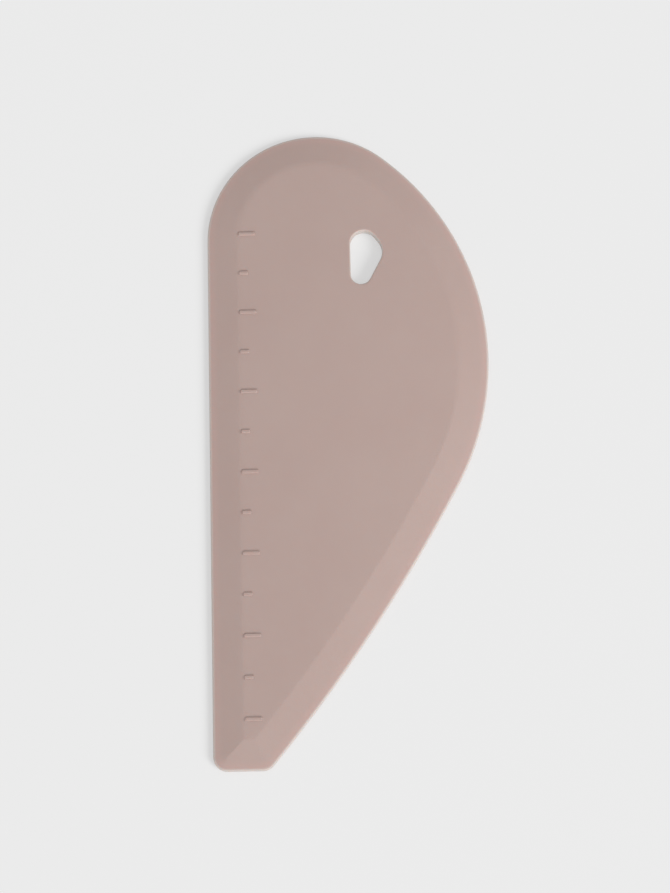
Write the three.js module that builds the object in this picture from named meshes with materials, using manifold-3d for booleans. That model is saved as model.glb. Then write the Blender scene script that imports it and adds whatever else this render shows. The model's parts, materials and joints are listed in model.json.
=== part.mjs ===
// Drop-shaped dough scraper: a nylon core moulded between two silicone skins.
// Millimetres, +Z up. The scraper lies on its back with the straight edge along Y,
// and the origin is on the back face, at the middle of the outline.
import * as THREE from "three";
import { mergeVertices } from "three/addons/utils/BufferGeometryUtils.js";
import Module from "manifold-3d";

const wasm = await Module();
wasm.setup();

// Outline, a chain of tangent arcs between the straight edge and the blunt tip
const length = 200;
const width = 87.2;
const crownRadius = 34.2;
const bellyRadius = 83.6;
const flankRadius = 515;
const tipWidth = 17;
const tipCornerRadius = 4.4;

// Section, from the back face up
const backThickness = 0.85;
const coreThickness = 1.4;
const coverThickness = 1.35;
const lipThickness = 0.9;
const lipRound = 0.5;
const backRound = 0.35;
const bevelWidth = 9.4;
const panelBlend = 1.3;

// Core, inside the edge of the flat panel
const coreInset = 0.6;
const coreClearance = 0.3;

// Hanging hole, a rounded triangle with one upright side and rounded rims
const holeFromEdge = 44.85;
const holeFromCrown = 31.85;
const holeHeight = 17.3;
const holeWidth = 10;
const holeHeadRadius = 4.3;
const holeShoulderDrop = 6.7;
const holeShoulderRadius = 6;
const holeToeRadius = 3.2;
const holeRound = 0.5;
const holeLining = 3;

// Bond posts, silicone that fills the core's flow holes
const postDiameter = 5;
const postFromCoreEdge = 7;
const postPitch = 42;
const postWeb = 3;

// Raised scale marks, one every half inch
const markPitch = 12.7;
const scaleStart = 2;
const inchMarkLength = 5.3;
const halfMarkLength = 2.9;
const markWidth = 1.2;
const markHeight = 0.5;
const markRound = 0.25;
const markGap = 0.4;
const markRoot = 0.3;

// Colours of the moulded silicone and of natural nylon
const siliconeColor = 0xb6a19a;
const nylonColor = 0xd9d3c8;

// Fineness of the round stretches
const outlineSteps = { crown: 18, shoulder: 8, belly: 14, side: 9, flank: 6, corner: 5 };
const roundSteps = 3;
const holeSteps = { head: 12, shoulder: 8, toe: 10 };
const postSteps = 20;

// How far a cutter reaches past the faces that it cuts
const overcut = 1;

// Levels of the section
const partingLevel = backThickness;
const coreTop = partingLevel + coreThickness;
const panelLevel = coreTop + coverThickness;
const rimLevel = partingLevel + lipThickness;

// The core's edge, measured in from the outline
const coreEdge = bevelWidth + coreInset;

// Edges of the outline
const left = -width / 2;
const right = width / 2;
const top = length / 2;
const bottom = -length / 2;

// Centres of the outline's arcs, each found from the arc before it
const crownCentre = new THREE.Vector2(left + crownRadius, top - crownRadius);
const bellyCentre = centreOfBelly();
const tip = new THREE.Vector2(left + tipWidth, bottom);
const flankCentre = centreOfArc(bellyCentre, bellyRadius, tip, 0, flankRadius);

// The belly touches the right edge and runs smoothly into the crown.
function centreOfBelly() {
  const x = right - bellyRadius;
  const reach = bellyRadius - crownRadius;
  const across = crownCentre.x - x;
  return new THREE.Vector2(x, crownCentre.y - Math.sqrt(reach ** 2 - across ** 2));
}

// Centre of the arc that runs smoothly out of an upper circle and into a lower one on its left.
function centreOfArc(upper, upperRadius, lower, lowerRadius, radius) {
  const span = upper.distanceTo(lower);
  const fromUpper = radius - upperRadius;
  const fromLower = radius - lowerRadius;
  const along = (fromUpper ** 2 - fromLower ** 2 + span ** 2) / (2 * span);
  const aside = Math.sqrt(fromUpper ** 2 - along ** 2);
  const down = lower.clone().sub(upper).divideScalar(span);
  const inward = new THREE.Vector2(down.y, -down.x);
  return upper.clone().addScaledVector(down, along).addScaledVector(inward, aside);
}

// Where the flank is at a level y, for an outline drawn in by an inset, and the level at an x.
function flankAt(y, inset) {
  return flankCentre.x + Math.sqrt((flankRadius - inset) ** 2 - (y - flankCentre.y) ** 2);
}

function flankLevel(x, inset) {
  return flankCentre.y - Math.sqrt((flankRadius - inset) ** 2 - (x - flankCentre.x) ** 2);
}

function angleFrom(centre, point) {
  return Math.atan2(point.y - centre.y, point.x - centre.x);
}

function arc(centre, radius, from, to, steps) {
  return new THREE.EllipseCurve(centre.x, centre.y, radius, radius, from, to, true).getPoints(steps);
}

// The two rounded corners of the tip, for an outline drawn in by an inset. Past the corner radius
// they are mitred, and further in, where the tip runs out, they fall together.
function tipCorners(inset) {
  const radius = Math.max(tipCornerRadius - inset, 0);
  const reach = inset + radius;
  const level = bottom + reach;
  const onEdge = new THREE.Vector2(left + reach, level);
  const onFlank = new THREE.Vector2(flankAt(level, reach), level);
  if (onFlank.x < onEdge.x) {
    onEdge.y = flankLevel(onEdge.x, reach);
    onFlank.copy(onEdge);
  }
  return { radius, onEdge, onFlank };
}

// The outline drawn in by an inset, clockwise from the straight edge.
function outline(inset) {
  const { radius, onEdge, onFlank } = tipCorners(inset);
  const crownEnd = angleFrom(bellyCentre, crownCentre);
  const bellyEnd = angleFrom(flankCentre, bellyCentre);
  const flankEnd = angleFrom(flankCentre, onFlank);
  const up = Math.PI / 2;
  const down = -Math.PI / 2;
  return [
    ...arc(crownCentre, crownRadius - inset, Math.PI, up, outlineSteps.crown),
    ...arc(crownCentre, crownRadius - inset, up, crownEnd, outlineSteps.shoulder).slice(1),
    ...arc(bellyCentre, bellyRadius - inset, crownEnd, 0, outlineSteps.belly).slice(1),
    ...arc(bellyCentre, bellyRadius - inset, 0, bellyEnd, outlineSteps.side).slice(1),
    ...arc(flankCentre, flankRadius - inset, bellyEnd, flankEnd, outlineSteps.flank).slice(1),
    ...arc(onFlank, radius, flankEnd, down, outlineSteps.corner).slice(1),
    ...arc(onEdge, radius, down, -Math.PI, outlineSteps.corner),
  ];
}

// Direction that the straight run from one circle to the next, clockwise round both, faces.
function runFacing(centre, radius, next, nextRadius) {
  return angleFrom(centre, next) + Math.acos((radius - nextRadius) / centre.distanceTo(next));
}

// The hanging hole grown by a margin: an upright side, and straight runs between a round head, a
// round shoulder and a round toe.
function holeOutline(margin) {
  const side = left + holeFromEdge;
  const upper = top - holeFromCrown;
  const head = new THREE.Vector2(side + holeHeadRadius, upper - holeHeadRadius);
  const shoulder = new THREE.Vector2(side + holeWidth - holeShoulderRadius, upper - holeShoulderDrop);
  const toe = new THREE.Vector2(side + holeToeRadius, upper - holeHeight + holeToeRadius);
  const headEnd = runFacing(head, holeHeadRadius, shoulder, holeShoulderRadius);
  const shoulderEnd = runFacing(shoulder, holeShoulderRadius, toe, holeToeRadius);
  return [
    ...arc(head, holeHeadRadius + margin, Math.PI, headEnd, holeSteps.head),
    ...arc(shoulder, holeShoulderRadius + margin, headEnd, shoulderEnd, holeSteps.shoulder),
    ...arc(toe, holeToeRadius + margin, shoulderEnd, -Math.PI, holeSteps.toe),
  ];
}

// Points without repeats, as a shape that can be extruded.
function shapeOf(points) {
  const distinct = points.filter((point, i) => !point.equals(points.at(i - 1)));
  return new THREE.Shape(distinct);
}

// An upright prism. Its ends are set to the given levels, so that faces that meet are level.
function prism(points, low, high) {
  const geometry = new THREE.ExtrudeGeometry(shapeOf(points), {
    depth: high - low,
    bevelEnabled: false,
  });
  const position = geometry.getAttribute("position");
  for (let i = 0; i < position.count; i++) {
    position.setZ(i, position.getZ(i) > 0 ? high : low);
  }
  return solid(geometry);
}

// A closed body through one ring for each step of a section, from its bottom to its top. An inset
// is how far the ring lies in from the wall, into the material.
function loft(section, ringAt) {
  const rings = section.map(({ inset, level }) =>
    ringAt(inset).map((point) => new THREE.Vector3(point.x, point.y, level)),
  );
  const count = rings[0].length;
  const triangles = [];
  for (let i = 1; i < rings.length; i++) {
    for (let j = 0; j < count; j++) {
      const here = (i - 1) * count + j;
      const next = (i - 1) * count + ((j + 1) % count);
      triangles.push(here, here + count, next, next, here + count, next + count);
    }
  }
  const highest = (rings.length - 1) * count;
  for (let j = 2; j < count; j++) {
    triangles.push(0, j - 1, j);
    triangles.push(highest, highest + j, highest + j - 1);
  }
  const geometry = new THREE.BufferGeometry().setFromPoints(rings.flat());
  geometry.setIndex(triangles);
  return solid(geometry);
}

// A rounded edge of a section, from one direction to another, in steps.
function rounding(centre, radius, from, to) {
  return new THREE.EllipseCurve(centre.x, centre.y, radius, radius, from, to, from > to)
    .getPoints(roundSteps)
    .map((point) => ({ inset: point.x, level: point.y }));
}

function solid(geometry) {
  geometry.deleteAttribute("normal");
  geometry.deleteAttribute("uv");
  const merged = mergeVertices(geometry);
  const corners = Array.from(merged.index.array);
  const triVerts = [];
  for (let i = 0; i < corners.length; i += 3) {
    const [a, b, c] = corners.slice(i, i + 3);
    if (a !== b && b !== c && c !== a) triVerts.push(a, b, c);
  }
  return new wasm.Manifold(
    new wasm.Mesh({
      numProp: 3,
      vertProperties: merged.getAttribute("position").array,
      triVerts: new Uint32Array(triVerts),
    }),
  );
}

function meshOf(name, body, material) {
  const { vertProperties, triVerts } = body.getMesh();
  const geometry = new THREE.BufferGeometry();
  geometry.setAttribute("position", new THREE.BufferAttribute(vertProperties, 3));
  geometry.setIndex(new THREE.BufferAttribute(triVerts, 1));
  geometry.computeVertexNormals();
  const mesh = new THREE.Mesh(geometry, material);
  mesh.name = name;
  return mesh;
}

// Section of the front skin: lip, rounded edge, bevel, and a soft break into the flat panel.
function frontSection() {
  const slope = Math.atan2(panelLevel - rimLevel, bevelWidth);
  const radius = Math.min(lipRound, lipThickness);
  const lipLevel = rimLevel + radius * (Math.tan(slope) - 1 / Math.cos(slope));
  const lipCentre = new THREE.Vector2(radius, lipLevel);
  const lip = rounding(lipCentre, radius, Math.PI, Math.PI / 2 + slope);
  const blendRun = panelBlend * Math.cos(slope);
  const blendFall = panelBlend * Math.sin(slope);
  const blend = new THREE.QuadraticBezierCurve(
    new THREE.Vector2(bevelWidth - blendRun, panelLevel - blendFall),
    new THREE.Vector2(bevelWidth, panelLevel),
    new THREE.Vector2(bevelWidth + panelBlend, panelLevel),
  );
  return [
    { inset: 0, level: partingLevel },
    ...lip,
    ...blend.getPoints(roundSteps).map((point) => ({ inset: point.x, level: point.y })),
  ];
}

// Section of the back skin: flat back, rounded edge and straight rim up to the parting line.
function backSection() {
  const radius = Math.min(backRound, backThickness);
  const centre = new THREE.Vector2(radius, radius);
  return [
    ...rounding(centre, radius, (3 * Math.PI) / 2, Math.PI),
    { inset: 0, level: partingLevel },
  ];
}

// Sections of the hanging hole in each skin, with its outer rim rounded.
function frontHoleSection() {
  const radius = Math.min(holeRound, panelLevel - partingLevel);
  const centre = new THREE.Vector2(radius, panelLevel - radius);
  return [
    { inset: 0, level: partingLevel - overcut },
    ...rounding(centre, radius, Math.PI, Math.PI / 2),
    { inset: radius, level: panelLevel + overcut },
  ];
}

function backHoleSection() {
  const radius = Math.min(holeRound, backThickness);
  const centre = new THREE.Vector2(radius, radius);
  return [
    { inset: radius, level: -overcut },
    ...rounding(centre, radius, (3 * Math.PI) / 2, Math.PI),
    { inset: 0, level: partingLevel + overcut },
  ];
}

// Section of a scale mark, with its upper edges rounded.
function markSection() {
  const radius = Math.min(markRound, markHeight, markWidth / 3);
  const centre = new THREE.Vector2(radius, panelLevel + markHeight - radius);
  return [
    { inset: 0, level: panelLevel - markRoot },
    ...rounding(centre, radius, Math.PI, Math.PI / 2),
  ];
}

function circle(centre, radius) {
  return arc(centre, radius, 2 * Math.PI, 0, postSteps).slice(1);
}

// Centres of the bond posts, evenly spaced inside the core's edge and clear of the hanging hole.
function postCentres() {
  const loop = shapeOf(outline(coreEdge + postFromCoreEdge));
  loop.closePath();
  const count = Math.round(loop.getLength() / postPitch);
  const keepOff = holeLining + coreClearance + postWeb + postDiameter / 2 + coreClearance;
  const hole = holeOutline(0);
  return loop
    .getSpacedPoints(count)
    .slice(0, count)
    .filter((point) => hole.every((corner) => corner.distanceTo(point) > keepOff));
}

const posts = postCentres();

function frontSkin() {
  const pocketFloor = partingLevel - overcut;
  let pocket = prism(outline(coreEdge - coreClearance), pocketFloor, coreTop);
  pocket = pocket.subtract(prism(holeOutline(holeLining), pocketFloor - overcut, coreTop + overcut));
  for (const centre of posts) {
    const post = circle(centre, postDiameter / 2);
    pocket = pocket.subtract(prism(post, pocketFloor - overcut, coreTop + overcut));
  }
  let skin = loft(frontSection(), outline).subtract(pocket);
  for (const mark of scaleMarks()) {
    skin = skin.add(loft(markSection(), (inset) => markOutline(mark, inset)));
  }
  return skin.subtract(loft(frontHoleSection(), holeOutline));
}

// The scale marks, long and short in turn, for as far down the panel as they fit.
function scaleMarks() {
  const start = left + bevelWidth + markGap;
  const marks = [];
  for (let i = 0; ; i++) {
    const high = crownCentre.y + scaleStart + markWidth / 2 - i * markPitch;
    const low = high - markWidth;
    const end = start + (i % 2 === 0 ? inchMarkLength : halfMarkLength);
    const fits = low > bottom + bevelWidth + markGap && end < flankAt(low, bevelWidth) - markGap;
    if (!fits) return marks;
    marks.push({ start, end, low, high });
  }
}

function markOutline({ start, end, low, high }, inset) {
  return [
    new THREE.Vector2(start + inset, low + inset),
    new THREE.Vector2(start + inset, high - inset),
    new THREE.Vector2(end - inset, high - inset),
    new THREE.Vector2(end - inset, low + inset),
  ];
}

function corePlate() {
  let plate = prism(outline(coreEdge), partingLevel, coreTop);
  const opening = holeOutline(holeLining + coreClearance);
  plate = plate.subtract(prism(opening, partingLevel - overcut, coreTop + overcut));
  for (const centre of posts) {
    const flowHole = circle(centre, postDiameter / 2 + coreClearance);
    plate = plate.subtract(prism(flowHole, partingLevel - overcut, coreTop + overcut));
  }
  return plate;
}

function backSkin() {
  return loft(backSection(), outline).subtract(loft(backHoleSection(), holeOutline));
}

function matte(color, roughness) {
  return new THREE.MeshStandardMaterial({ color, roughness, metalness: 0 });
}

const scraper = new THREE.Group();
scraper.name = "dough_scraper";
scraper.add(
  meshOf("front_skin", frontSkin(), matte(siliconeColor, 0.7)),
  meshOf("core_plate", corePlate(), matte(nylonColor, 0.6)),
  meshOf("back_skin", backSkin(), matte(siliconeColor, 0.7)),
);

export default scraper;
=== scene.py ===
import json
from math import acos, atan2, cos, pi, radians, sin, sqrt, tan

import bmesh
import bpy
from bpy.props import FloatProperty, FloatVectorProperty, PointerProperty
from mathutils import Matrix, Vector
from mathutils.bvhtree import BVHTree


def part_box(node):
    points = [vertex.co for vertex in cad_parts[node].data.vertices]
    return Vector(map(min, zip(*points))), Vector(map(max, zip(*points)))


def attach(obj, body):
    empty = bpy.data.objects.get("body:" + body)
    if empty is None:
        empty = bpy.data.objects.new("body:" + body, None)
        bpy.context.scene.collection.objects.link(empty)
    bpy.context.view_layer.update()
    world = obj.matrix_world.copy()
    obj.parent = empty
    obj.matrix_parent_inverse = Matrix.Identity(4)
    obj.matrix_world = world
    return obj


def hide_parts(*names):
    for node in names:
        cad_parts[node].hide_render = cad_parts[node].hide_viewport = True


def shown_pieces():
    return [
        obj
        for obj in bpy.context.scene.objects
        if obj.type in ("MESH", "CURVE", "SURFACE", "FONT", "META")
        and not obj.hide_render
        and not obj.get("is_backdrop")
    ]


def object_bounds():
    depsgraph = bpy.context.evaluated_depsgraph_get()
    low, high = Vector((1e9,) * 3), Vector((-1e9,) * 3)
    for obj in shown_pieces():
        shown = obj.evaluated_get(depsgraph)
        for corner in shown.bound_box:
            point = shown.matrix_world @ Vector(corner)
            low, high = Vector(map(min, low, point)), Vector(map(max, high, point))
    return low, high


bl_info = {
    "name": "Dough scraper",
    "version": (1, 0, 0),
    "blender": (4, 5, 0),
    "location": "3D View > Sidebar > Scraper",
    "description": "Models a drop-shaped silicone dough scraper on its packed part",
    "category": "Add Mesh",
}

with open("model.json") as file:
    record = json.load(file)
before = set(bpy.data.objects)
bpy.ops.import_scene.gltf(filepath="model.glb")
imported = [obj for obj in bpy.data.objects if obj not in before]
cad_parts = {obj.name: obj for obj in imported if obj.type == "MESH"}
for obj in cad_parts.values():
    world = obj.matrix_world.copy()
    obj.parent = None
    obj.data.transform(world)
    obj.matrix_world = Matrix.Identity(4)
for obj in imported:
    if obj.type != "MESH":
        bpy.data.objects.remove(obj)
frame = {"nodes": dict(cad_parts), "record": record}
CAD_LOW, CAD_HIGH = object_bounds()


def mm(value):
    """Millimetres in metres."""
    return value / 1000


def linear(hex_colour):
    """An sRGB hex colour as linear red, green, blue and alpha."""
    shares = [int(hex_colour[i : i + 2], 16) / 255 for i in (1, 3, 5)]
    return *(c / 12.92 if c <= 0.04045 else ((c + 0.055) / 1.055) ** 2.4 for c in shares), 1.0


# Edges of the outline and levels of the section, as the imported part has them
LEFT, BOTTOM = CAD_LOW.xy
RIGHT, TOP = CAD_HIGH.xy
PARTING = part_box("back_skin")[1].z
MOUNT_LEVELS = {mount["name"]: mount["pos_m"][2] for mount in frame["record"]["mounts"]}
BACK = MOUNT_LEVELS["back_face"]
PANEL = MOUNT_LEVELS["front_panel"]

# Lengths below the first count as nothing, and points within the second of a line are on it.
TINY = 1e-6
NEAR = mm(0.02)

# Fineness of the round stretches, of the sloping rim round the tip's corners and of the soft break
OUTLINE_STEPS = {"crown": 60, "belly": 44, "flank": 14, "corner": 12}
HOLE_STEPS = {"head": 32, "shoulder": 18, "toe": 26}
RIM_STEPS = 4
BLEND_STEPS = 8

# Segments of each rounded or chamfered edge
SEGMENTS = {
    "lip": 5,
    "back": 5,
    "hole": 6,
    "mark_corner": 5,
    "mark_edge": 4,
    "mitre": 2,
    "parting": 1,
}

# Flat borders beside the hole's rim, the back's edge and the parting line, each so many times as
# wide as the rounding or chamfer there
HOLE_BORDER = 2
BACK_BORDER = 2
PARTING_BORDER = 4

# Rings of faces inside the back's edge, over which the lip's painted glow fades
BACK_RINGS = 4
BACK_RING = mm(0.9)

# The hole's rim is twice as thick as the lip, so the painted glow reaches half as far in from it.
RIM_DEPTH = 2

# Sloping faces that meet at more than the first angle have a line between them, shading breaks at the
# second, and a flat face and a wall meet at more than the third.
MITRE_ANGLE = radians(0.55)
CREASE_ANGLE = radians(32)
CORNER_ANGLE = radians(60)

# Half the floor's side, the gap under the scraper, the camera's sensor in millimetres and its range
FLOOR_REACH = 4
FLOOR_GAP = mm(0.05)
SENSOR_WIDTH = 36
CAMERA_RANGE = (0.01, 20)


class ScraperOutline(bpy.types.PropertyGroup):
    """Arcs of the outline between the straight edge and the blunt tip"""

    crown_radius: FloatProperty(
        name="Crown radius",
        description="Radius of the round upper end",
        default=mm(34.2),
        unit="LENGTH",
    )
    belly_radius: FloatProperty(
        name="Belly radius",
        description="Radius of the curved bowl edge",
        default=mm(83.6),
        unit="LENGTH",
    )
    flank_radius: FloatProperty(
        name="Flank radius",
        description="Radius of the long, nearly straight run to the tip",
        default=mm(515),
        unit="LENGTH",
    )
    tip_width: FloatProperty(
        name="Tip width",
        description="Width of the blunt tip before its corners are rounded",
        default=mm(17),
        unit="LENGTH",
    )
    tip_corner_radius: FloatProperty(
        name="Tip corner radius",
        description="Radius of the two corners of the tip",
        default=mm(4.4),
        unit="LENGTH",
    )


class ScraperSection(bpy.types.PropertyGroup):
    """Section of the blade, from the lip to the flat panel"""

    lip_height: FloatProperty(
        name="Lip height",
        description="Height of the front skin's edge above the parting line",
        default=mm(0.9),
        unit="LENGTH",
    )
    lip_round: FloatProperty(
        name="Lip rounding",
        description="Rounding of the front skin's outer edge",
        default=mm(0.5),
        unit="LENGTH",
    )
    back_round: FloatProperty(
        name="Back rounding",
        description="Rounding of the back skin's outer edge",
        default=mm(0.35),
        unit="LENGTH",
    )
    bevel_width: FloatProperty(
        name="Bevel width",
        description="Width of the sloping rim",
        default=mm(9.4),
        unit="LENGTH",
    )
    panel_blend: FloatProperty(
        name="Panel blend",
        description="Reach of the soft break to each side of the panel's edge",
        default=mm(1.3),
        unit="LENGTH",
    )
    flank_blend: FloatProperty(
        name="Flank blend",
        description="Reach of the break along the flank and the tip, where it is crisp",
        default=mm(0.4),
        unit="LENGTH",
    )
    flank_fade: FloatProperty(
        name="Flank fade",
        description="Height over which the break grows crisp, below the belly's widest point",
        default=mm(27),
        unit="LENGTH",
    )
    mitre_round: FloatProperty(
        name="Mitre rounding",
        description="Width of the crisp lines where the sloping faces meet at the tip",
        default=mm(0.2),
        unit="LENGTH",
    )
    parting_chamfer: FloatProperty(
        name="Parting chamfer",
        description="Chamfer on each skin where the two meet, seen as a fine line",
        default=mm(0.06),
        unit="LENGTH",
    )


class ScraperHole(bpy.types.PropertyGroup):
    """Hanging hole, a rounded triangle with one upright side"""

    from_edge: FloatProperty(
        name="From straight edge",
        description="Distance of the hole's upright side from the straight edge",
        default=mm(44.85),
        unit="LENGTH",
    )
    from_crown: FloatProperty(
        name="From crown",
        description="Distance of the hole's top from the top of the crown",
        default=mm(31.85),
        unit="LENGTH",
    )
    height: FloatProperty(
        name="Height",
        description="Height of the hole",
        default=mm(17.3),
        unit="LENGTH",
    )
    width: FloatProperty(
        name="Width",
        description="Width of the hole at its shoulder",
        default=mm(10),
        unit="LENGTH",
    )
    head_radius: FloatProperty(
        name="Head radius",
        description="Radius of the round upper end",
        default=mm(4.3),
        unit="LENGTH",
    )
    shoulder_drop: FloatProperty(
        name="Shoulder drop",
        description="Depth of the shoulder's centre below the hole's top",
        default=mm(6.7),
        unit="LENGTH",
    )
    shoulder_radius: FloatProperty(
        name="Shoulder radius",
        description="Radius of the shoulder, opposite the upright side",
        default=mm(6),
        unit="LENGTH",
    )
    toe_radius: FloatProperty(
        name="Toe radius",
        description="Radius of the narrow lower end",
        default=mm(3.2),
        unit="LENGTH",
    )
    rim_round: FloatProperty(
        name="Rim rounding",
        description="Rounding of the hole's outer rims",
        default=mm(0.5),
        unit="LENGTH",
    )


class ScraperScale(bpy.types.PropertyGroup):
    """Raised marks along the straight edge, one every half inch"""

    pitch: FloatProperty(
        name="Pitch",
        description="Distance from one mark to the next",
        default=mm(12.7),
        unit="LENGTH",
    )
    start: FloatProperty(
        name="Start",
        description="Height of the first mark above the end of the straight edge",
        default=mm(2),
        unit="LENGTH",
    )
    inch_length: FloatProperty(
        name="Inch mark",
        description="Length of a long mark",
        default=mm(5.3),
        unit="LENGTH",
    )
    half_length: FloatProperty(
        name="Half inch mark",
        description="Length of a short mark",
        default=mm(2.9),
        unit="LENGTH",
    )
    width: FloatProperty(
        name="Width",
        description="Width of each mark",
        default=mm(1.2),
        unit="LENGTH",
    )
    height: FloatProperty(
        name="Height",
        description="Height of each mark above the panel",
        default=CAD_HIGH.z - PANEL,
        unit="LENGTH",
    )
    gap: FloatProperty(
        name="Gap",
        description="Gap between the marks and the sloping rim",
        default=mm(0.4),
        unit="LENGTH",
    )
    root: FloatProperty(
        name="Root",
        description="Depth of each mark's foot below the panel",
        default=mm(0.3),
        unit="LENGTH",
    )
    end_round: FloatProperty(
        name="End rounding",
        description="Rounding of each mark's corners, seen from above",
        default=mm(0.45),
        unit="LENGTH",
    )
    edge_round: FloatProperty(
        name="Edge rounding",
        description="Rounding of each mark's upper edges",
        default=mm(0.36),
        unit="LENGTH",
    )


class ScraperFinish(bpy.types.PropertyGroup):
    """Colours of the materials and of the floor"""

    silicone: FloatVectorProperty(
        name="Silicone",
        description="Main colour of the pigmented silicone",
        default=linear("#B7A19A"),
        size=4,
        min=0,
        max=1,
        subtype="COLOR",
    )
    silicone_deep: FloatVectorProperty(
        name="Silicone, deeper",
        description="Colour where the pigment is a little denser",
        default=linear("#B59E97"),
        size=4,
        min=0,
        max=1,
        subtype="COLOR",
    )
    # Painted glow: the lip is drawn warmer where light would come through the thin silicone.
    silicone_lip_glow: FloatVectorProperty(
        name="Silicone, lip",
        description="Colour of the thin lip, which light comes through",
        default=linear("#BBA19A"),
        size=4,
        min=0,
        max=1,
        subtype="COLOR",
    )
    # Painted glow: the lip's outermost edge and the hole's rounded rim are drawn pale where light
    # would come through them.
    silicone_edge_glow: FloatVectorProperty(
        name="Silicone, edge",
        description="Colour of the lip's outermost edge",
        default=linear("#CBC1BB"),
        size=4,
        min=0,
        max=1,
        subtype="COLOR",
    )
    nylon: FloatVectorProperty(
        name="Nylon",
        description="Main colour of the natural nylon core",
        default=linear("#DDD6C8"),
        size=4,
        min=0,
        max=1,
        subtype="COLOR",
    )
    nylon_deep: FloatVectorProperty(
        name="Nylon, deeper",
        description="Colour of the core's flow lines",
        default=linear("#D2CABA"),
        size=4,
        min=0,
        max=1,
        subtype="COLOR",
    )
    floor: FloatVectorProperty(
        name="Floor",
        description="Colour of the floor and the backdrop",
        default=linear("#EBEBEB"),
        size=4,
        min=0,
        max=1,
        subtype="COLOR",
    )


class ScraperStage(bpy.types.PropertyGroup):
    """Camera and lights"""

    target: FloatVectorProperty(
        name="Target",
        description="Point that the camera looks at",
        default=(mm(-4.85), mm(-0.28), 0),
        subtype="TRANSLATION",
        unit="LENGTH",
    )
    distance: FloatProperty(
        name="Distance",
        description="Distance from the camera to its target",
        default=0.7916,
        unit="LENGTH",
    )
    tilt: FloatProperty(
        name="Tilt",
        description="Lean of the view from straight down towards the tip",
        default=radians(12),
        subtype="ANGLE",
    )
    roll: FloatProperty(
        name="Roll",
        description="Turn of the camera about its own axis",
        default=radians(-1.231),
        subtype="ANGLE",
    )
    lens: FloatProperty(
        name="Focal length",
        description="Focal length on a 36 mm sensor, in millimetres",
        default=102.94,
    )
    ambient: FloatProperty(
        name="Ambient light",
        description="Level of the soft light from all round",
        default=0.505,
    )
    spread: FloatProperty(
        name="Spread",
        description="Angle that each of the scraper's soft boxes fills, seen from it",
        default=radians(22),
        subtype="ANGLE",
    )
    side_light: FloatProperty(
        name="Side light",
        description="Light of the side box on a surface facing it, in watts per square metre",
        default=1.34,
    )
    side_distance: FloatProperty(
        name="Side distance",
        description="Distance of the side box, which is close",
        default=0.55,
        unit="LENGTH",
    )
    side_direction: FloatProperty(
        name="Side direction",
        description="Direction of the side box in the plane of the floor, from +X",
        default=radians(-10),
        subtype="ANGLE",
    )
    side_elevation: FloatProperty(
        name="Side elevation",
        description="Height of the side box above the floor, as an angle",
        default=radians(35),
        subtype="ANGLE",
    )
    tip_light: FloatProperty(
        name="Tip light",
        description="Light of the tip's box on a surface facing it, in watts per square metre",
        default=1.37,
    )
    tip_direction: FloatProperty(
        name="Tip direction",
        description="Direction of the box beyond the tip in the plane of the floor, from +X",
        default=radians(-90),
        subtype="ANGLE",
    )
    tip_elevation: FloatProperty(
        name="Tip elevation",
        description="Height of the box beyond the tip above the floor, as an angle",
        default=radians(37),
        subtype="ANGLE",
    )
    floor_light: FloatProperty(
        name="Floor light",
        description="Light of the floor's own box on a surface facing it, in watts per square metre",
        default=3.16,
    )
    floor_direction: FloatProperty(
        name="Floor light direction",
        description="Direction of the floor's own box in the plane of the floor, from +X",
        default=radians(-33),
        subtype="ANGLE",
    )
    floor_elevation: FloatProperty(
        name="Floor light elevation",
        description="Height of the floor's own box above the floor, as an angle",
        default=radians(32),
        subtype="ANGLE",
    )
    floor_spread: FloatProperty(
        name="Floor light spread",
        description="Angle that the floor's own box fills, seen from the scraper",
        default=radians(30),
        subtype="ANGLE",
    )
    far_distance: FloatProperty(
        name="Far distance",
        description="Distance of the box beyond the tip and of the floor's own box",
        default=12,
        unit="LENGTH",
    )
    floor_glow: FloatProperty(
        name="Floor glow",
        description="Share of the floor's pale tone that doesn't depend on the light",
        default=0.62,
        subtype="FACTOR",
    )


class ScraperSettings(bpy.types.PropertyGroup):
    """All sizes and colours of the scraper and its stage"""

    outline: PointerProperty(type=ScraperOutline, name="Outline", description="Outline of the blade")
    section: PointerProperty(type=ScraperSection, name="Section", description="Section of the blade")
    hole: PointerProperty(type=ScraperHole, name="Hanging hole", description="Hanging hole")
    scale: PointerProperty(type=ScraperScale, name="Scale", description="Raised scale marks")
    finish: PointerProperty(type=ScraperFinish, name="Finish", description="Colours")
    stage: PointerProperty(type=ScraperStage, name="Stage", description="Camera and lights")


def direction(centre, point):
    """Angle of the line from a centre to a point."""
    return atan2(point.y - centre.y, point.x - centre.x)


def arc_centre(upper, upper_radius, lower, lower_radius, radius):
    """Centre of the arc that runs smoothly out of an upper circle into a lower one on its left."""
    span = (lower - upper).length
    from_upper = radius - upper_radius
    from_lower = radius - lower_radius
    along = (from_upper**2 - from_lower**2 + span**2) / (2 * span)
    aside = sqrt(from_upper**2 - along**2)
    down = (lower - upper) / span
    return upper + down * along + Vector((down.y, -down.x)) * aside


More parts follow.
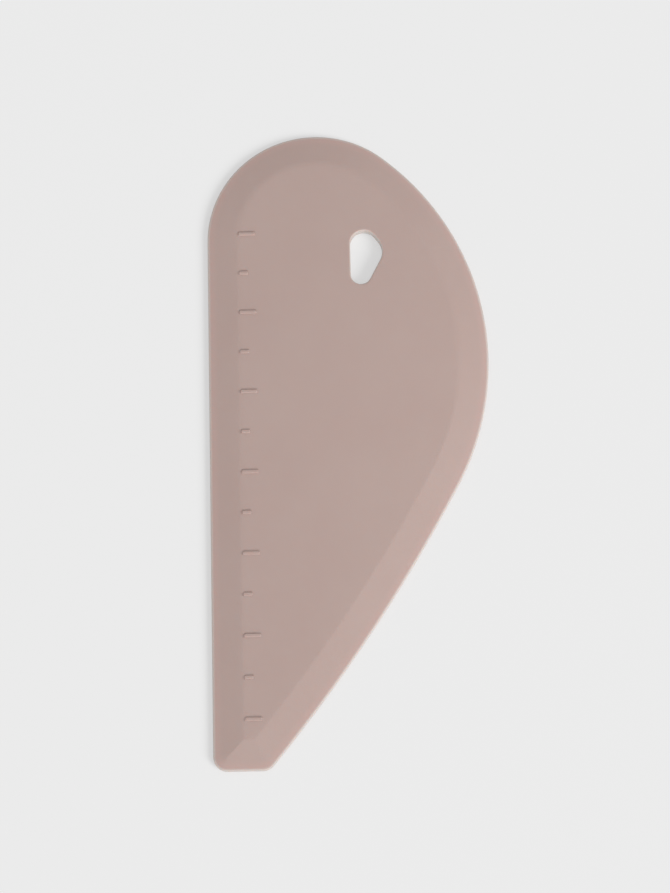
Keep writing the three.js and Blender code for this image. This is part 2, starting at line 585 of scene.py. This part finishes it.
def outline_centres(outline):
    """Centres of the crown, the belly, the flank and the two corners of the tip."""
    crown = Vector((LEFT + outline.crown_radius, TOP - outline.crown_radius))
    belly_x = RIGHT - outline.belly_radius
    reach = outline.belly_radius - outline.crown_radius
    belly = Vector((belly_x, crown.y - sqrt(reach**2 - (crown.x - belly_x) ** 2)))
    tip = Vector((LEFT + outline.tip_width, BOTTOM))
    flank = arc_centre(belly, outline.belly_radius, tip, 0, outline.flank_radius)
    level = BOTTOM + outline.tip_corner_radius
    inner_radius = outline.flank_radius - outline.tip_corner_radius
    on_flank = Vector((flank.x + sqrt(inner_radius**2 - (level - flank.y) ** 2), level))
    on_edge = Vector((LEFT + outline.tip_corner_radius, level))
    return crown, belly, flank, on_flank, on_edge


def verts_of(geom):
    """The vertices among what an operator gives back."""
    return [part for part in geom if isinstance(part, bmesh.types.BMVert)]


def sweep(bm, vert, centre, turn, steps):
    """Spins a vertex about a centre into an arc, and gives the arc's far end."""
    spun = bmesh.ops.spin(
        bm, geom=[vert], cent=centre.to_3d(), axis=(0, 0, 1), angle=turn, steps=steps
    )
    return verts_of(spun["geom_last"])[0]


def draw_outline(bm, outline, level):
    """Draws the outline as a closed loop of edges, clockwise from the end of the straight edge."""
    known = set(bm.edges)
    crown, belly, flank, on_flank, on_edge = outline_centres(outline)
    crown_end = direction(belly, crown)
    belly_end = direction(flank, belly)
    flank_end = direction(flank, on_flank)
    start = bm.verts.new((LEFT, crown.y, level))
    end = sweep(bm, start, crown, crown_end - pi, OUTLINE_STEPS["crown"])
    end = sweep(bm, end, belly, belly_end - crown_end, OUTLINE_STEPS["belly"])
    end = sweep(bm, end, flank, flank_end - belly_end, OUTLINE_STEPS["flank"])
    end = sweep(bm, end, on_flank, -pi / 2 - flank_end, OUTLINE_STEPS["corner"])
    across = bm.verts.new((on_edge.x, BOTTOM, level))
    bm.edges.new((end, across))
    end = sweep(bm, across, on_edge, -pi / 2, OUTLINE_STEPS["corner"])
    bm.edges.new((end, start))
    return [edge for edge in bm.edges if edge not in known]


def run_facing(centre, radius, following, following_radius):
    """Direction that the straight run from one circle to the next, clockwise round both, faces."""
    span = (following - centre).length
    return direction(centre, following) + acos((radius - following_radius) / span)


def draw_hole(bm, hole, margin, level):
    """Draws the hanging hole, grown by a margin, as a closed loop of edges."""
    known = set(bm.edges)
    side = LEFT + hole.from_edge
    upper = TOP - hole.from_crown
    head = Vector((side + hole.head_radius, upper - hole.head_radius))
    shoulder = Vector((side + hole.width - hole.shoulder_radius, upper - hole.shoulder_drop))
    toe = Vector((side + hole.toe_radius, upper - hole.height + hole.toe_radius))
    head_end = run_facing(head, hole.head_radius, shoulder, hole.shoulder_radius)
    shoulder_end = run_facing(shoulder, hole.shoulder_radius, toe, hole.toe_radius)
    rounds = (
        (head, hole.head_radius, pi, head_end, HOLE_STEPS["head"]),
        (shoulder, hole.shoulder_radius, head_end, shoulder_end, HOLE_STEPS["shoulder"]),
        (toe, hole.toe_radius, shoulder_end, -pi, HOLE_STEPS["toe"]),
    )
    ends = []
    for centre, radius, begin, end, steps in rounds:
        reach = radius + margin
        vert = bm.verts.new((centre.x + reach * cos(begin), centre.y + reach * sin(begin), level))
        ends += [vert, sweep(bm, vert, centre, end - begin, steps)]
    for i in range(0, len(ends), 2):
        bm.edges.new((ends[i - 1], ends[i]))
    return [edge for edge in bm.edges if edge not in known]


def is_level(part, level):
    """Whether an edge or a face lies flat at a level."""
    return all(abs(vert.co.z - level) < TINY for vert in part.verts)


def level_edges(bm, level):
    """Edges that lie flat at a level."""
    return [edge for edge in bm.edges if is_level(edge, level)]


def corner_edges(bm, level):
    """Edges at a level where a flat face meets a wall."""
    return [edge for edge in level_edges(bm, level) if edge.calc_face_angle(0) > CORNER_ANGLE]


def round_edges(bm, edges, width, segments):
    """Rounds edges to a width, or chamfers them where there is one segment."""
    bmesh.ops.bevel(
        bm,
        geom=edges,
        offset=width,
        offset_type="OFFSET",
        segments=segments,
        profile=0.5,
        affect="EDGES",
        clamp_overlap=True,
        material=-1,
    )


def inset_face(bm, face, width, rise=0):
    """Insets a face by a width in the plane, and lifts what is left of it."""
    bmesh.ops.inset_region(
        bm, faces=[face], thickness=width, depth=rise, use_boundary=True, use_even_offset=True
    )


def break_level(slope, past, reach):
    """Level of the break, whose slope falls evenly to nothing, some way past the panel's edge."""
    if past < -reach:
        return PANEL + slope * past
    if past > reach:
        return PANEL
    return PANEL - slope * (reach - past) ** 2 / (4 * reach)


def slab(bm, outline, low, high):
    """Draws a slab of the blade's outline and gives its lower and upper face."""
    lower = bmesh.ops.contextual_create(bm, geom=draw_outline(bm, outline, low))["faces"][0]
    lifted = bmesh.ops.extrude_face_region(bm, geom=[lower])["geom"]
    bmesh.ops.translate(bm, vec=(0, 0, high - low), verts=verts_of(lifted))
    upper = next(face for face in lifted if isinstance(face, bmesh.types.BMFace))
    walls = [face for edge in lower.edges for face in edge.link_faces]
    bmesh.ops.recalc_face_normals(bm, faces=list({lower, upper, *walls}))
    return lower, upper


def cut_hole(bm, hole, outer):
    """Runs the hanging hole from a skin's outer face to the parting line, with a rounded rim."""
    flats = sorted(bm.faces, key=lambda face: len(face.verts))[-2:]
    bmesh.ops.delete(bm, geom=flats, context="FACES_ONLY")
    border = draw_hole(bm, hole, HOLE_BORDER * hole.rim_round, outer)
    rim = draw_hole(bm, hole, 0, outer)
    end = draw_hole(bm, hole, 0, PARTING)
    bmesh.ops.bridge_loops(bm, edges=border + rim)
    bmesh.ops.bridge_loops(bm, edges=rim + end)
    for level in (outer, PARTING):
        borders = [edge for edge in level_edges(bm, level) if edge.is_boundary]
        bmesh.ops.triangle_fill(bm, edges=borders, use_beauty=True, normal=(0, 0, 1))
    round_edges(bm, rim, hole.rim_round, SEGMENTS["hole"])


def united(bm, other):
    """One closed bmesh from two that overlap."""
    parts = []
    for shape in (bm, other):
        bmesh.ops.recalc_face_normals(shape, faces=shape.faces)
        mesh = bpy.data.meshes.new("part")
        shape.to_mesh(mesh)
        shape.free()
        part = bpy.data.objects.new("part", mesh)
        bpy.context.scene.collection.objects.link(part)
        parts.append(part)
    join = parts[0].modifiers.new("Join", "BOOLEAN")
    join.operation = "UNION"
    join.object = parts[1]
    whole = bmesh.new()
    whole.from_object(parts[0], bpy.context.evaluated_depsgraph_get())
    for part in parts:
        bpy.data.meshes.remove(part.data)
    return whole


def wall_tree(bm, border):
    """Search tree of the upright wall over a border of edges."""
    lifted = bmesh.ops.extrude_edge_only(bm, edges=border)["geom"]
    bmesh.ops.translate(bm, vec=(0, 0, CAD_HIGH.z), verts=verts_of(lifted))
    tree = BVHTree.FromBMesh(bm)
    bm.free()
    return tree


# The distances noted here drive the painted glow of the lip and of the hole's rim.
def note_depth(bm, settings):
    """Notes on each vertex how far it lies from the lip, or from the hole on its rounded rim."""
    lip_foot = PARTING + settings.section.lip_height - settings.section.lip_round
    wall = bmesh.new()
    blade = wall_tree(wall, draw_outline(wall, settings.outline, BACK))
    wall = bmesh.new()
    hole = wall_tree(wall, draw_hole(wall, settings.hole, 0, BACK))
    depth = bm.verts.layers.float.new("depth")
    for vert in bm.verts:
        from_hole = hole.find_nearest(vert.co)[3]
        from_lip = blade.find_nearest(vert.co)[3] + max(0, lip_foot - vert.co.z)
        on_rim = from_hole < settings.hole.rim_round - TINY
        vert[depth] = RIM_DEPTH * from_hole if on_rim else from_lip


def finish_piece(bm, name, node, material):
    """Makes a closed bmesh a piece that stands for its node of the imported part."""
    bmesh.ops.recalc_face_normals(bm, faces=bm.faces)
    if not all(edge.is_manifold for edge in bm.edges):
        raise RuntimeError(f"{name} isn't closed")
    for face in bm.faces:
        face.smooth = True
    for edge in bm.edges:
        if edge.calc_face_angle(0) > CREASE_ANGLE:
            edge.smooth = False
    mesh = bpy.data.meshes.new(name)
    bm.to_mesh(mesh)
    bm.free()
    mesh.materials.append(material)
    piece = bpy.data.objects.new(name, mesh)
    bpy.context.scene.collection.objects.link(piece)
    normals = piece.modifiers.new("Flat faces stay flat", "WEIGHTED_NORMAL")
    normals.keep_sharp = True
    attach(piece, "root")
    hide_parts(node)
    return piece


def add_node(tree, kind, inputs=None, **settings):
    """Adds a node with its own settings and with inputs that are values or sockets to link from."""
    node = tree.nodes.new(kind)
    for name, value in settings.items():
        setattr(node, name, value)
    for name, value in (inputs or {}).items():
        if isinstance(value, bpy.types.NodeSocket):
            tree.links.new(value, node.inputs[name])
        else:
            node.inputs[name].default_value = value
    return node


def new_material(name):
    """An empty material, or the one of that name if it has been made, and whether it is new."""
    known = bpy.data.materials.get(name)
    if known:
        return known, False
    material = bpy.data.materials.new(name)
    material.use_nodes = True
    material.node_tree.nodes.clear()
    return material, True


def moulded_silicone(finish):
    """Pigmented food-grade silicone, compression moulded in a spark-eroded tool."""
    material, is_new = new_material("moulded_silicone")
    if not is_new:
        return material
    tree = material.node_tree
    place = add_node(tree, "ShaderNodeTexCoord").outputs["Object"]
    # The pigment is milled in by hand, so the tone drifts slightly over a few centimetres.
    clouds = add_node(
        tree,
        "ShaderNodeTexNoise",
        {"Vector": place, "Scale": 1 / mm(28), "Detail": 3, "Roughness": 0.6},
    )
    drift = add_node(
        tree, "ShaderNodeMapRange", {"Value": clouds.outputs["Fac"], "From Min": 0.3, "From Max": 0.7}
    )
    colour = add_node(
        tree,
        "ShaderNodeMix",
        {0: drift.outputs["Result"], 6: finish.silicone_deep, 7: finish.silicone},
        data_type="RGBA",
    )
    # The lip is thin, so light comes through it. This is painted into the colour as a warmer glow
    # over the lip and a pale glow at its very edge.
    depth = add_node(tree, "ShaderNodeAttribute", attribute_name="depth").outputs["Fac"]
    lip = add_node(
        tree,
        "ShaderNodeMapRange",
        {"Value": depth, "From Min": mm(3.2), "From Max": mm(1.2)},
        interpolation_type="SMOOTHSTEP",
    )
    glow_warmed = add_node(
        tree,
        "ShaderNodeMix",
        {0: lip.outputs["Result"], 6: colour.outputs[2], 7: finish.silicone_lip_glow},
        data_type="RGBA",
    )
    # Painted glow, pale at the lip's very edge and round the hole's rim
    edge = add_node(
        tree,
        "ShaderNodeMapRange",
        {"Value": depth, "From Min": mm(1), "From Max": mm(0.05)},
        interpolation_type="SMOOTHSTEP",
    )
    glow_paled = add_node(
        tree,
        "ShaderNodeMix",
        {0: edge.outputs["Result"], 6: glow_warmed.outputs[2], 7: finish.silicone_edge_glow},
        data_type="RGBA",
    )
    # The tool's texture is about 0.1 mm, too fine to show, so it is drawn at 0.6 mm.
    grain = add_node(
        tree,
        "ShaderNodeTexNoise",
        {"Vector": place, "Scale": 1 / mm(0.6), "Detail": 2, "Roughness": 0.6},
    )
    bump = add_node(
        tree,
        "ShaderNodeBump",
        {"Strength": 0.1, "Distance": mm(0.03), "Height": grain.outputs["Fac"]},
    )
    # A satin skin, a little glossier where the tool is worn smooth.
    wear = add_node(tree, "ShaderNodeTexNoise", {"Vector": place, "Scale": 1 / mm(9), "Detail": 2})
    gloss = add_node(
        tree,
        "ShaderNodeMapRange",
        {
            "Value": wear.outputs["Fac"],
            "From Min": 0.3,
            "From Max": 0.7,
            "To Min": 0.6,
            "To Max": 0.68,
        },
    )
    # Light goes a millimetre into the silicone and comes back softened.
    shader = add_node(
        tree,
        "ShaderNodeBsdfPrincipled",
        {
            "Base Color": glow_paled.outputs[2],
            "Roughness": gloss.outputs["Result"],
            "IOR": 1.41,
            "Subsurface Weight": 0.2,
            "Subsurface Radius": (1.0, 0.5, 0.35),
            "Subsurface Scale": mm(1.2),
            "Normal": bump.outputs["Normal"],
        },
    )
    add_node(tree, "ShaderNodeOutputMaterial", {"Surface": shader.outputs["BSDF"]})
    return material


def natural_nylon(finish):
    """Unpigmented nylon sheet, injection moulded: waxy and ivory, with faint flow lines."""
    material, is_new = new_material("natural_nylon")
    if not is_new:
        return material
    tree = material.node_tree
    place = add_node(tree, "ShaderNodeTexCoord").outputs["Object"]
    # The melt runs along the blade, so the flow lines are about 3 mm apart and many times as long.
    stretched = add_node(tree, "ShaderNodeMapping", {"Vector": place, "Scale": (1, 0.12, 1)})
    flow = add_node(
        tree,
        "ShaderNodeTexNoise",
        {"Vector": stretched.outputs["Vector"], "Scale": 1 / mm(3), "Detail": 3, "Distortion": 0.4},
    )
    colour = add_node(
        tree,
        "ShaderNodeMix",
        {0: flow.outputs["Fac"], 6: finish.nylon_deep, 7: finish.nylon},
        data_type="RGBA",
    )
    gloss = add_node(
        tree, "ShaderNodeMapRange", {"Value": flow.outputs["Fac"], "To Min": 0.38, "To Max": 0.52}
    )
    bump = add_node(
        tree,
        "ShaderNodeBump",
        {"Strength": 0.15, "Distance": mm(0.05), "Height": flow.outputs["Fac"]},
    )
    shader = add_node(
        tree,
        "ShaderNodeBsdfPrincipled",
        {
            "Base Color": colour.outputs[2],
            "Roughness": gloss.outputs["Result"],
            "IOR": 1.53,
            "Subsurface Weight": 0.2,
            "Subsurface Radius": (1.0, 0.8, 0.6),
            "Subsurface Scale": mm(1.5),
            "Normal": bump.outputs["Normal"],
        },
    )
    add_node(tree, "ShaderNodeOutputMaterial", {"Surface": shader.outputs["BSDF"]})
    return material


def seen_directly(tree):
    """One where a surface is seen by the camera, in a reflection or through glass, else zero."""
    path = add_node(tree, "ShaderNodeLightPath").outputs
    shiny = add_node(
        tree,
        "ShaderNodeMath",
        {0: path["Is Glossy Ray"], 1: path["Is Transmission Ray"]},
        operation="MAXIMUM",
    )
    seen = add_node(
        tree,
        "ShaderNodeMath",
        {0: path["Is Camera Ray"], 1: shiny.outputs["Value"]},
        operation="MAXIMUM",
    )
    return seen.outputs["Value"]


def lit_paper(settings):
    """Matt background paper, lit from behind so that shadows on it stay pale."""
    material, is_new = new_material("lit_paper")
    if not is_new:
        return material
    tree = material.node_tree
    share = add_node(
        tree,
        "ShaderNodeMath",
        {0: seen_directly(tree), 1: settings.stage.floor_glow},
        operation="MULTIPLY",
    )
    paper = add_node(tree, "ShaderNodeBsdfDiffuse", {"Color": settings.finish.floor})
    glow = add_node(tree, "ShaderNodeEmission", {"Color": settings.finish.floor, "Strength": 1})
    mixed = add_node(
        tree,
        "ShaderNodeMixShader",
        {0: share.outputs["Value"], 1: paper.outputs["BSDF"], 2: glow.outputs["Emission"]},
    )
    add_node(tree, "ShaderNodeOutputMaterial", {"Surface": mixed.outputs["Shader"]})
    return material


class SCRAPER_OT_front_skin(bpy.types.Operator):
    """Model the silicone front: lip, sloping rim, flat panel, scale marks and the core's pocket"""

    bl_idname = "scraper.front_skin"
    bl_label = "Front skin"

    def execute(self, context):
        settings = context.scene.scraper
        outline = settings.outline
        section = settings.section
        rim = PARTING + section.lip_height
        bm = bmesh.new()
        self.draw_pocket(bm)
        lower, upper = slab(bm, outline, PARTING, rim)

        # The rim slopes up in two steps. At the first the tip's round corners have run to points.
        slope = (PANEL - rim) / section.bevel_width
        first = outline.tip_corner_radius
        step = first / RIM_STEPS
        for _ in range(RIM_STEPS):
            inset_face(bm, upper, step, step * slope)
        for centre in outline_centres(outline)[3:]:
            point = Vector((*centre, rim + first * slope))
            corner = [vert for vert in upper.verts if (vert.co - point).length < first / 5]
            bmesh.ops.pointmerge(bm, verts=corner, merge_co=point)
            upper = max(bm.faces, key=lambda face: face.calc_center_median().z)
        rest = section.bevel_width - section.panel_blend - first
        inset_face(bm, upper, rest, rest * slope)

        # Soft break into the panel
        reach = section.panel_blend
        step = 2 * reach / BLEND_STEPS
        levels = [break_level(slope, i * step - reach, reach) for i in range(BLEND_STEPS + 1)]
        for low, high in zip(levels, levels[1:]):
            inset_face(bm, upper, step, high - low)
        self.sharpen_break(bm, settings, slope, levels)

        # The sloping faces meet in crisp lines at the tip.
        foot = rim + first * slope - TINY
        mitres = [
            edge
            for edge in bm.edges
            if min(vert.co.z for vert in edge.verts) > foot
            and abs(edge.verts[0].co.z - edge.verts[1].co.z) > TINY
            and edge.calc_face_angle(0) > MITRE_ANGLE
        ]
        round_edges(bm, mitres, section.mitre_round, SEGMENTS["mitre"])

        # Fine chamfer at the parting line, and rounded lip
        inset_face(bm, lower, PARTING_BORDER * section.parting_chamfer)
        parting = corner_edges(bm, PARTING)
        round_edges(bm, parting, section.parting_chamfer, SEGMENTS["parting"])
        round_edges(bm, level_edges(bm, rim), section.lip_round, SEGMENTS["lip"])
        bmesh.ops.remove_doubles(bm, verts=bm.verts, dist=5 * TINY)

        cut_hole(bm, settings.hole, PANEL)
        bm = united(bm, self.draw_marks(settings))
        note_depth(bm, settings)
        silicone = moulded_silicone(settings.finish)
        finish_piece(bm, "silicone_front", "front_skin", silicone)
        return {"FINISHED"}

    def sharpen_break(self, bm, settings, slope, levels):
        """Makes the break into the panel crisp along the flank and the tip."""
        outline = settings.outline
        section = settings.section
        _, belly, flank, _, _ = outline_centres(outline)
        for i, level in enumerate(levels):
            past = (2 * i / BLEND_STEPS - 1) * section.panel_blend
            inset = section.bevel_width + past
            for vert in [vert for vert in bm.verts if abs(vert.co.z - level) < TINY]:
                from_belly = outline.belly_radius - inset - (vert.co.xy - belly).length
                from_flank = outline.flank_radius - inset - (vert.co.xy - flank).length
                from_tip = vert.co.y - BOTTOM - inset
                if min(abs(from_belly), abs(from_flank), abs(from_tip)) < NEAR:
                    share = min(1, max(0, (belly.y - vert.co.y) / section.flank_fade))
                    reach = share * section.flank_blend + (1 - share) * section.panel_blend
                    vert.co.z = break_level(slope, past, reach)

    def draw_pocket(self, bm):
        """The silicone is moulded round the core, so the pocket is the core's own top and sides."""
        bm.from_mesh(frame["nodes"]["core_plate"].data)
        bmesh.ops.remove_doubles(bm, verts=bm.verts, dist=TINY)
        under = [face for face in bm.faces if is_level(face, PARTING)]
        bmesh.ops.delete(bm, geom=under, context="FACES")

    def draw_marks(self, settings):
        """Raised bars with round ends, long and short in turn, for as far down as they fit."""
        scale = settings.scale
        crown, _, flank, _, _ = outline_centres(settings.outline)
        bevel_width = settings.section.bevel_width
        inner_radius = settings.outline.flank_radius - bevel_width
        left = LEFT + bevel_width + scale.gap
        high = PANEL + scale.height
        low = PANEL - scale.root
        level = crown.y + scale.start
        count = 0
        bm = bmesh.new()
        while True:
            length = scale.half_length if count % 2 else scale.inch_length
            lower_side = level - scale.width / 2
            limit = flank.x + sqrt(inner_radius**2 - (lower_side - flank.y) ** 2)
            if lower_side < BOTTOM + bevel_width + scale.gap or left + length > limit - scale.gap:
                break
            place = Matrix.Translation((left + length / 2, level, (low + high) / 2))
            spread = Matrix.Diagonal((length, scale.width, high - low, 1))
            bmesh.ops.create_cube(bm, size=1, matrix=place @ spread)
            level -= scale.pitch
            count += 1
        upright = [edge for edge in bm.edges if abs(edge.verts[0].co.z - edge.verts[1].co.z) > TINY]
        round_edges(bm, upright, scale.end_round, SEGMENTS["mark_corner"])
        round_edges(bm, level_edges(bm, high), scale.edge_round, SEGMENTS["mark_edge"])
        return bm


class SCRAPER_OT_core_plate(bpy.types.Operator):
    """Finish the nylon core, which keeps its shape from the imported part"""

    bl_idname = "scraper.core_plate"
    bl_label = "Core plate"

    def execute(self, context):
        core = frame["nodes"]["core_plate"]
        core.data.materials.clear()
        core.data.materials.append(natural_nylon(context.scene.scraper.finish))
        return {"FINISHED"}


class SCRAPER_OT_back_skin(bpy.types.Operator):
    """Model the flat silicone back with its rounded edge and the hanging hole"""

    bl_idname = "scraper.back_skin"
    bl_label = "Back skin"

    def execute(self, context):
        settings = context.scene.scraper
        section = settings.section
        bm = bmesh.new()
        lower, upper = slab(bm, settings.outline, BACK, PARTING)
        inset_face(bm, lower, BACK_BORDER * section.back_round)
        for _ in range(BACK_RINGS):
            inset_face(bm, lower, BACK_RING)
        inset_face(bm, upper, PARTING_BORDER * section.parting_chamfer)
        parting = corner_edges(bm, PARTING)
        round_edges(bm, parting, section.parting_chamfer, SEGMENTS["parting"])
        round_edges(bm, corner_edges(bm, BACK), section.back_round, SEGMENTS["back"])
        cut_hole(bm, settings.hole, BACK)
        note_depth(bm, settings)
        silicone = moulded_silicone(settings.finish)
        finish_piece(bm, "silicone_back", "back_skin", silicone)
        return {"FINISHED"}


class SCRAPER_OT_stage(bpy.types.Operator):
    """Set up the pale floor, the soft light and the camera"""

    bl_idname = "scraper.stage"
    bl_label = "Stage"

    def execute(self, context):
        settings = context.scene.scraper
        stage = settings.stage
        scene = context.scene
        scene.view_settings.view_transform = "Standard"

        bm = bmesh.new()
        under = Matrix.Translation((0, 0, BACK - FLOOR_GAP))
        bmesh.ops.create_grid(bm, x_segments=1, y_segments=1, size=FLOOR_REACH, matrix=under)
        mesh = bpy.data.meshes.new("floor")
        bm.to_mesh(mesh)
        bm.free()
        mesh.materials.append(lit_paper(settings))
        floor = bpy.data.objects.new("floor", mesh)
        scene.collection.objects.link(floor)
        floor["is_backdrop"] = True

        # Even soft light from all round, behind a backdrop of the floor's colour
        world = bpy.data.worlds.new("soft_studio")
        world.use_nodes = True
        tree = world.node_tree
        tree.nodes.clear()
        light = add_node(
            tree, "ShaderNodeBackground", {"Color": (1, 1, 1, 1), "Strength": stage.ambient}
        )
        backdrop = add_node(
            tree, "ShaderNodeBackground", {"Color": settings.finish.floor, "Strength": 1}
        )
        mixed = add_node(
            tree,
            "ShaderNodeMixShader",
            {
                0: seen_directly(tree),
                1: light.outputs["Background"],
                2: backdrop.outputs["Background"],
            },
        )
        add_node(tree, "ShaderNodeOutputWorld", {"Surface": mixed.outputs["Shader"]})
        scene.world = world

        # Two soft boxes light the scraper, and the side one is so close that its light fades across
        # it. The floor has a far box of its own between them, so it is even, with one soft shadow.
        side = (stage.side_direction, stage.side_elevation, stage.side_distance)
        self.hang("side_box", stage.side_light, side, stage.spread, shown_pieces())
        tip = (stage.tip_direction, stage.tip_elevation, stage.far_distance)
        self.hang("tip_box", stage.tip_light, tip, stage.spread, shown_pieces())
        between = (stage.floor_direction, stage.floor_elevation, stage.far_distance)
        self.hang("floor_box", stage.floor_light, between, stage.floor_spread, [floor])

        view = bpy.data.cameras.new("camera")
        view.sensor_width = SENSOR_WIDTH
        view.lens = stage.lens
        view.clip_start, view.clip_end = CAMERA_RANGE
        camera = bpy.data.objects.new("camera", view)
        away = Vector((0, -sin(stage.tilt), cos(stage.tilt)))
        camera.location = Vector(stage.target) + away * stage.distance
        camera.rotation_mode = "ZYX"
        camera.rotation_euler = (stage.tilt, 0, stage.roll)
        scene.collection.objects.link(camera)
        scene.camera = camera
        return {"FINISHED"}

    def hang(self, name, light, place, spread, lit):
        """Hangs a soft box at a direction, elevation and distance for the pieces that it lights."""
        turn, elevation, distance = place
        lamp = bpy.data.lights.new(name, "AREA")
        lamp.shape = "DISK"
        lamp.size = 2 * distance * tan(spread / 2)
        lamp.energy = light * pi * distance**2
        towards = Vector((cos(elevation) * cos(turn), cos(elevation) * sin(turn), sin(elevation)))
        box = bpy.data.objects.new(name, lamp)
        box.location = towards * distance
        box.rotation_euler = towards.to_track_quat("Z", "Y").to_euler()
        box.light_linking.receiver_collection = bpy.data.collections.new(f"lit_by_{name}")
        for piece in lit:
            box.light_linking.receiver_collection.objects.link(piece)
        bpy.context.scene.collection.objects.link(box)


class SCRAPER_PT_pieces(bpy.types.Panel):
    """Pieces of the scraper, with their sizes and colours"""

    bl_idname = "SCRAPER_PT_pieces"
    bl_label = "Dough scraper"
    bl_space_type = "VIEW_3D"
    bl_region_type = "UI"
    bl_category = "Scraper"

    def draw(self, context):
        settings = context.scene.scraper
        for operator in OPERATORS:
            self.layout.operator(operator.bl_idname)
        for group in ("outline", "section", "hole", "scale", "finish", "stage"):
            box = self.layout.box()
            box.label(text=settings.bl_rna.properties[group].name)
            sizes = getattr(settings, group)
            for name in sizes.__annotations__:
                box.prop(sizes, name)


GROUPS = (
    ScraperOutline,
    ScraperSection,
    ScraperHole,
    ScraperScale,
    ScraperFinish,
    ScraperStage,
    ScraperSettings,
)
OPERATORS = (
    SCRAPER_OT_front_skin,
    SCRAPER_OT_core_plate,
    SCRAPER_OT_back_skin,
    SCRAPER_OT_stage,
)
CLASSES = (*GROUPS, *OPERATORS, SCRAPER_PT_pieces)


def register():
    for cls in CLASSES:
        bpy.utils.register_class(cls)
    bpy.types.Scene.scraper = PointerProperty(
        type=ScraperSettings, name="Dough scraper", description="Sizes and colours of the scraper"
    )


def unregister():
    del bpy.types.Scene.scraper
    for cls in reversed(CLASSES):
        bpy.utils.unregister_class(cls)


def main():
    register()
    bpy.ops.scraper.front_skin()
    bpy.ops.scraper.core_plate()
    bpy.ops.scraper.back_skin()
    bpy.ops.scraper.stage()


if __name__ == "__main__":
    main()
